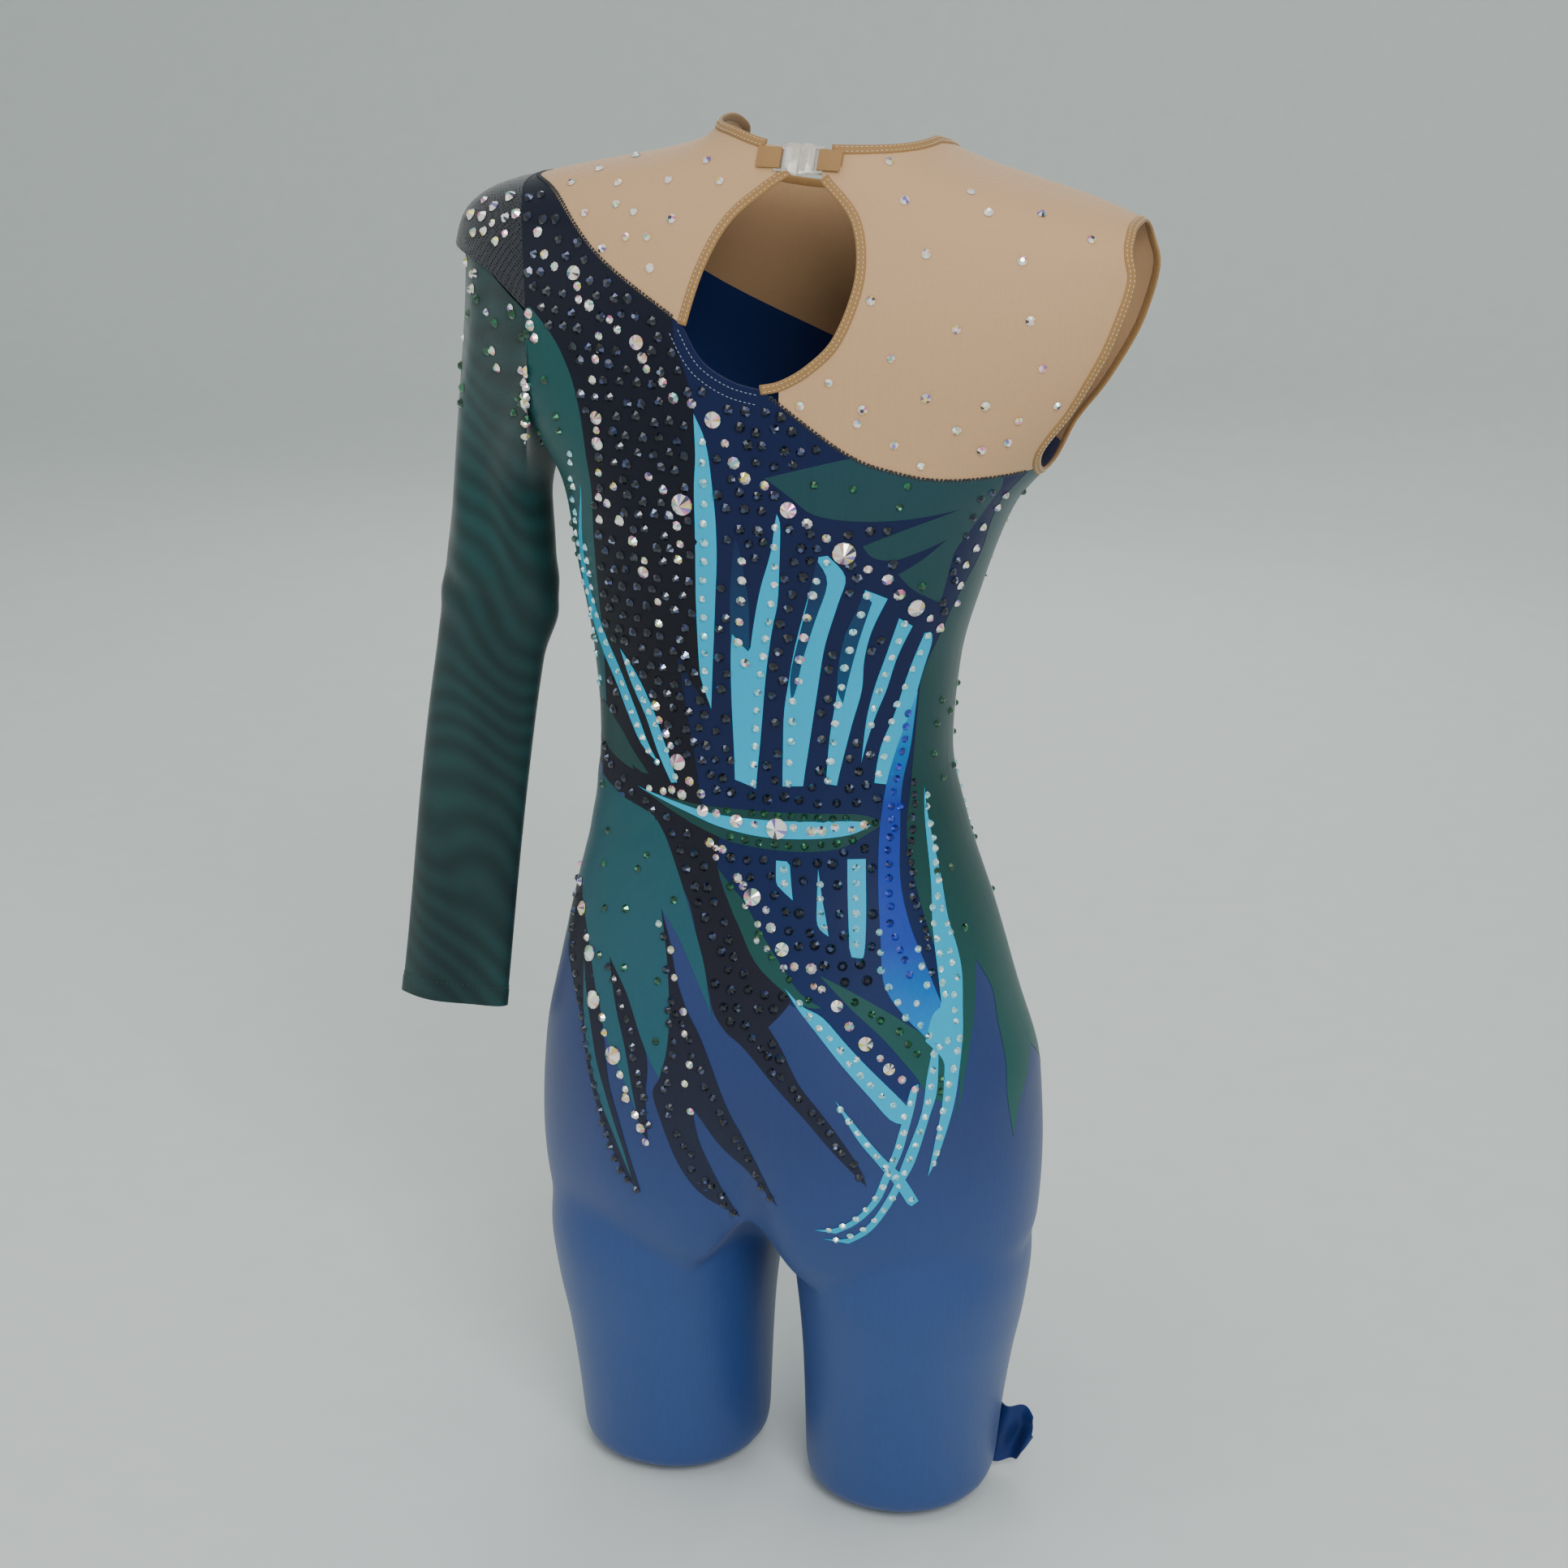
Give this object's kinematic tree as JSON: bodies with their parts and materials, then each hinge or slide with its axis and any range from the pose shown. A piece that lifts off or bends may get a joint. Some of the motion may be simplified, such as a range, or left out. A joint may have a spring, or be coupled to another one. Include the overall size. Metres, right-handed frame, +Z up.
{
  "type": "gymnastics unitard",
  "caption": "One-sleeved rhythmic gymnastics unitard in printed stretch cloth, with a mesh yoke, an open keyhole back, a slide clasp at the nape and glued crystals.",
  "frame": {"origin": "the middle of the waist, between the side seams, where the wearer fills the garment", "axes": "+Z up the wearer, +X to the wearer's left, +Y to the wearer's back"},
  "size_m": [0.4738, 0.219, 0.8668],
  "materials": {
    "printed_lycra": "printed satin knit",
    "blue_lycra": "satin knit",
    "nude_mesh": "matt stretch mesh",
    "nude_binding": "matt folded knit",
    "black_mesh": "open stretch mesh",
    "green_mesh": "open stretch mesh",
    "lining": "matt knit",
    "clear_plastic": "clear moulded",
    "crystal": "faceted, foiled back"
  },
  "bodies": {
    "garment": {"armhole_binding": "nude_binding", "back_panel": "printed_lycra", "clasp_catch": "clear_plastic", "crystal_01": "crystal", "crystal_02": "crystal", "crystal_03": "crystal", "crystal_04": "crystal", "crystal_05": "crystal", "crystal_06": "crystal", "crystal_07": "crystal", "crystal_08": "crystal", "crystal_09": "crystal", "crystal_10": "crystal", "crystal_11": "crystal", "crystal_12": "crystal", "crystal_13": "crystal", "crystal_14": "crystal", "crystal_15": "crystal", "crystal_16": "crystal", "crystal_17": "crystal", "crystal_18": "crystal", "crystal_19": "crystal", "crystal_20": "crystal", "crystal_21": "crystal", "crystal_22": "crystal", "crystal_23": "crystal", "front_lining": "lining", "front_panel": "printed_lycra", "gusset_lining": "lining", "keyhole_binding_left": "nude_binding", "keyhole_binding_right": "nude_binding", "keyhole_facing": "printed_lycra", "leg_left_turned_edge": "blue_lycra", "leg_right_surplus": "blue_lycra", "leg_right_turned_edge": "blue_lycra", "neck_binding": "nude_binding", "neck_tab_right": "nude_binding", "shoulder_cap": "black_mesh", "yoke_back_left": "nude_mesh", "yoke_back_right": "nude_mesh", "yoke_front": "nude_mesh"},
    "empty_sleeve": {"sleeve": "green_mesh", "sleeve_hem": "green_mesh"},
    "clasp_slider": {"clasp_hook": "clear_plastic", "neck_tab_left": "nude_binding"}
  },
  "joints": [
    {"name": "sleeve_raise", "type": "hinge", "parent": "garment", "child": "empty_sleeve", "pos_m": [0.2088, 0, 0.2869], "axis": [0, -1, 0], "range_deg": [0, 70]},
    {"name": "clasp_slide", "type": "slide", "parent": "garment", "child": "clasp_slider", "axis": [0, -0.4695, 0.8829], "range_m": [0, 0.012]}
  ]
}
